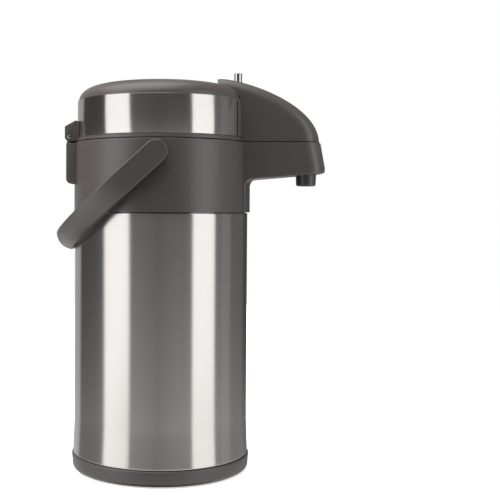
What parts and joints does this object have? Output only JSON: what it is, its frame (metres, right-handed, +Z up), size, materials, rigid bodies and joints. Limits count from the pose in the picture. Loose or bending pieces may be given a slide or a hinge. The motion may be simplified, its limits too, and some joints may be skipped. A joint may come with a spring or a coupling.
{
  "type": "thermal coffee airpot",
  "caption": "Thermal coffee airpot: brushed steel vacuum flask with plastic collar, hinged pump lid with push button and lock, pouring nose with nozzle, and a swinging bail handle.",
  "frame": {"origin": "centre of the foot pad's underside, on the surface that the airpot stands on", "axes": "+Z is up along the flask's axis, +X points along the nose, the lid hinge is at -X and the handle pivots are on the Y axis"},
  "size_m": [0.2535, 0.1796, 0.374],
  "materials": {
    "foot_rubber": "matte",
    "grey_plastic": "fine satin texture",
    "screw_steel": "plain",
    "brushed_shell": "brushed round the body",
    "liner_steel": "smooth satin",
    "silicone": "translucent matte",
    "black_plastic": "satin",
    "black_rubber": "matte",
    "bright_steel": "polished",
    "band_steel": "fine brushed round the lid",
    "lock_chrome": "polished"
  },
  "bodies": {
    "flask": {"foot_pad": "foot_rubber", "base_cup": "grey_plastic", "base_screw_1": "screw_steel", "base_screw_2": "screw_steel", "base_screw_3": "screw_steel", "outer_shell": "brushed_shell", "shell_bottom": "brushed_shell", "inner_liner": "liner_steel", "neck_gasket": "silicone", "collar": "grey_plastic", "mouth_ring": "black_plastic", "mouth_screw_1": "screw_steel", "mouth_screw_2": "screw_steel", "mouth_screw_3": "screw_steel", "dip_tube": "liner_steel", "tube_head": "black_plastic", "spout_pipe": "liner_steel", "pipe_grommet": "black_rubber", "nozzle": "black_plastic", "hinge_pin": "bright_steel"},
    "lid": {"lid_base": "grey_plastic", "lid_gasket": "silicone", "lid_cover": "grey_plastic", "lid_band": "band_steel", "valve_disc": "black_rubber", "lid_screw_1": "screw_steel", "lid_screw_2": "screw_steel", "lid_screw_3": "screw_steel", "bellows": "black_rubber", "return_spring": "bright_steel"},
    "pump": {"pump_button": "grey_plastic"},
    "lock": {"lock_slider": "lock_chrome"},
    "bail": {"handle": "grey_plastic", "handle_pin_left": "bright_steel", "handle_pin_right": "bright_steel", "handle_washer_left": "black_plastic", "handle_washer_right": "black_plastic"}
  },
  "joints": [
    {"name": "handle_swing", "type": "hinge", "parent": "flask", "child": "bail", "pos_m": [0, 0, 0.2944], "axis": [0, 1, 0], "range_deg": [0, 170]},
    {"name": "lid_open", "type": "hinge", "parent": "flask", "child": "lid", "pos_m": [-0.0846, 0, 0.3112], "axis": [0, -1, 0], "range_deg": [0, 95]},
    {"name": "pump_press", "type": "slide", "parent": "lid", "child": "pump", "axis": [0, 0, -1], "range_m": [0, 0.022], "stiffness_N_per_m": 600, "springref_m": -0.012, "deforming": ["bellows", "return_spring"]},
    {"name": "lock_slide", "type": "slide", "parent": "lid", "child": "lock", "axis": [-1, 0, 0], "range_m": [0, 0.006]}
  ]
}
